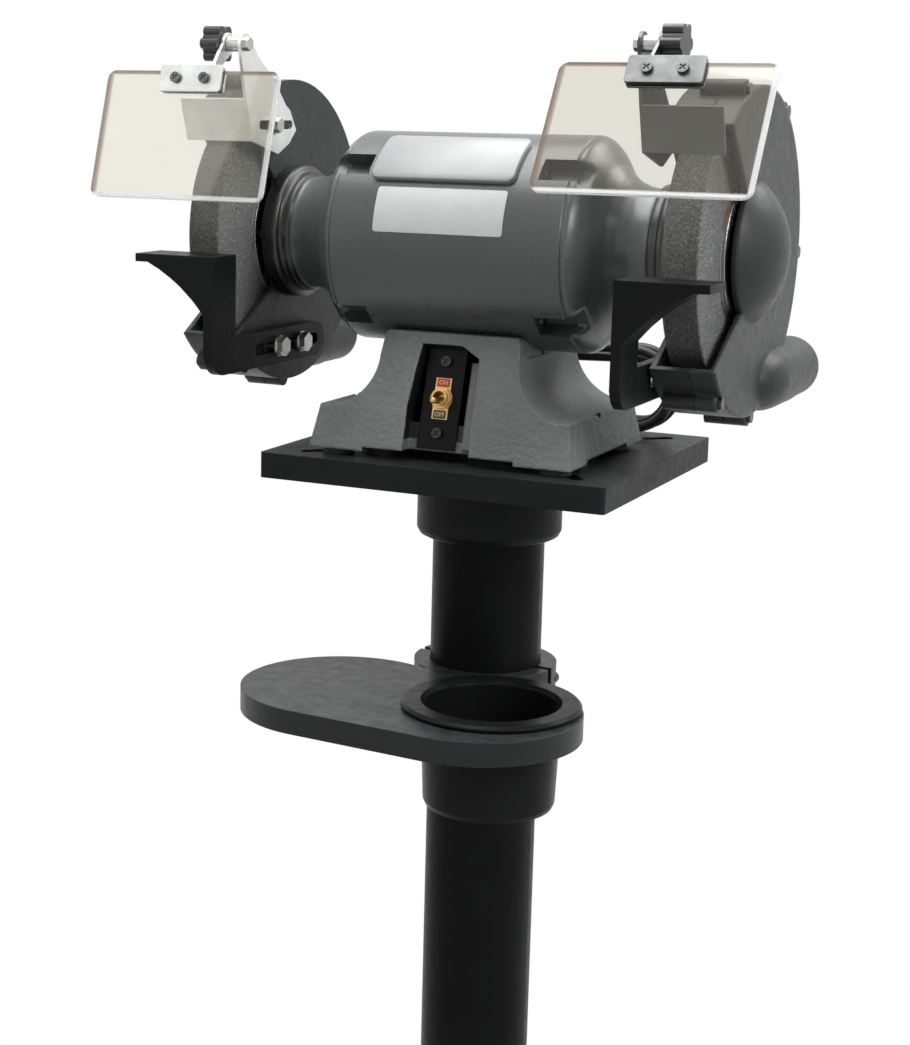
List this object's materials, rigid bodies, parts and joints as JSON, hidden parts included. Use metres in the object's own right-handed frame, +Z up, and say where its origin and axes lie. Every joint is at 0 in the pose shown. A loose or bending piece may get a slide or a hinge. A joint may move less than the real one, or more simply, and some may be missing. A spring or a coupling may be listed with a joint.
{
  "type": "bench grinder with stand",
  "caption": "Pedestal bench grinder: guarded wheels on a grey motor, eye shields, tool rests, cast base with toggle switch, column stand with tool tray and coolant pot.",
  "frame": {"origin": "centre of the floor bolt pattern, on the floor, on the column's axis", "axes": "+Z up, +X along the shaft to the right-hand wheel, -Y towards the operator"},
  "size_m": [0.516, 0.4137, 1.1467],
  "materials": {
    "black_casting": "satin black paint",
    "black_paint": "satin black",
    "grey_base": "rough light grey paint",
    "grey_motor": "satin grey",
    "guard_dark": "satin charcoal paint",
    "cover_grey": "satin dark grey paint",
    "zinc": "zinc plated",
    "steel": "machined",
    "black_screw": "blackened",
    "brass": "satin",
    "rubber": "matte",
    "cord": "matte",
    "copper": "varnished winding wire",
    "abrasive": "coarse grey abrasive",
    "blotter": "orange paper",
    "shield": "clear polycarbonate",
    "knob": "black",
    "switch": "black"
  },
  "bodies": {
    "stand": {"stand_base": "black_casting", "column": "black_paint", "column_set_screws": "black_screw", "top_plate": "black_casting", "hold_down_bolts": "zinc", "rubber_feet": "rubber", "grinder_base": "grey_base", "base_bottom_cover": "black_paint", "switch_plate": "black_paint", "switch_screws": "black_screw", "switch_body": "brass", "switch_nut": "brass", "on_off_plate": "brass", "motor_shell": "grey_motor", "left_end_bell": "grey_motor", "right_end_bell": "grey_motor", "tie_bolts": "black_screw", "stator_core": "steel", "stator_windings": "copper", "ball_bearings": "steel", "left_inner_guard": "guard_dark", "right_inner_guard": "guard_dark", "left_guard_cover": "cover_grey", "right_guard_cover": "cover_grey", "guard_screws": "black_screw", "tool_rest_bolts": "zinc", "spark_guard_bolts": "zinc", "cord_strain_relief": "rubber", "power_cord": "cord", "cord_hank": "cord", "cord_tail": "cord", "power_plug": "rubber"},
    "arbor": {"rotor_core": "steel", "arbor_shaft": "steel", "wheel_flanges": "steel", "wheel_blotters": "blotter", "left_wheel": "abrasive", "right_wheel": "abrasive", "arbor_nuts": "steel"},
    "tray": {"tool_tray": "black_casting", "tray_clamp": "black_casting", "tray_clamp_bolts": "black_screw"},
    "pot": {"coolant_pot": "black_paint"},
    "toggle": {"switch_lever": "brass"},
    "left_rest": {"left_tool_rest": "guard_dark"},
    "right_rest": {"right_tool_rest": "guard_dark"},
    "left_bracket": {"left_spark_guard": "zinc", "left_pivot_bolt": "zinc"},
    "left_shield": {"left_shield_holder": "zinc", "left_eye_shield": "shield", "left_shield_clamp": "zinc", "left_clamp_screws": "steel"},
    "left_knob": {"left_shield_knob": "knob"},
    "right_bracket": {"right_spark_guard": "zinc", "right_pivot_bolt": "zinc"},
    "right_shield": {"right_shield_holder": "zinc", "right_eye_shield": "shield", "right_shield_clamp": "zinc", "right_clamp_screws": "steel"},
    "right_knob": {"right_shield_knob": "knob"}
  },
  "joints": [
    {"name": "arbor_spin", "type": "hinge", "parent": "stand", "child": "arbor", "pos_m": [0, -0.028, 0.9925], "axis": [1, 0, 0], "continuous": true},
    {"name": "tray_swivel", "type": "hinge", "parent": "stand", "child": "tray", "pos_m": [0, 0, 0.6585], "axis": [0, 0, 1], "range_deg": [-176, 176]},
    {"name": "pot_lift", "type": "slide", "parent": "tray", "child": "pot", "axis": [0, 0, 1], "range_m": [0, 0.084]},
    {"name": "switch_toggle", "type": "hinge", "parent": "stand", "child": "toggle", "pos_m": [-0.0055, -0.08533, 0.87831], "axis": [-1, 0, 0], "range_deg": [0, 24]},
    {"name": "left_rest_slide", "type": "slide", "parent": "stand", "child": "left_rest", "axis": [0, 1, 0], "range_m": [-0.0235, 0.003]},
    {"name": "left_bracket_slide", "type": "slide", "parent": "stand", "child": "left_bracket", "axis": [0, 1, 0], "range_m": [-0.024, 0]},
    {"name": "left_shield_tilt", "type": "hinge", "parent": "left_bracket", "child": "left_shield", "pos_m": [-0.17, -0.118, 1.134], "axis": [-1, 0, 0], "range_deg": [-12, 58]},
    {"name": "left_knob_turn", "type": "hinge", "parent": "left_bracket", "child": "left_knob", "pos_m": [-0.18, -0.118, 1.134], "axis": [1, 0, 0], "range_deg": [-180, 180]},
    {"name": "right_rest_slide", "type": "slide", "parent": "stand", "child": "right_rest", "axis": [0, 1, 0], "range_m": [-0.0235, 0.003]},
    {"name": "right_bracket_slide", "type": "slide", "parent": "stand", "child": "right_bracket", "axis": [0, 1, 0], "range_m": [0, 0.024]},
    {"name": "right_shield_tilt", "type": "hinge", "parent": "right_bracket", "child": "right_shield", "pos_m": [0.17, -0.142, 1.134], "axis": [-1, 0, 0], "range_deg": [-27, 43]},
    {"name": "right_knob_turn", "type": "hinge", "parent": "right_bracket", "child": "right_knob", "pos_m": [0.18, -0.142, 1.134], "axis": [1, 0, 0], "range_deg": [-180, 180]}
  ]
}
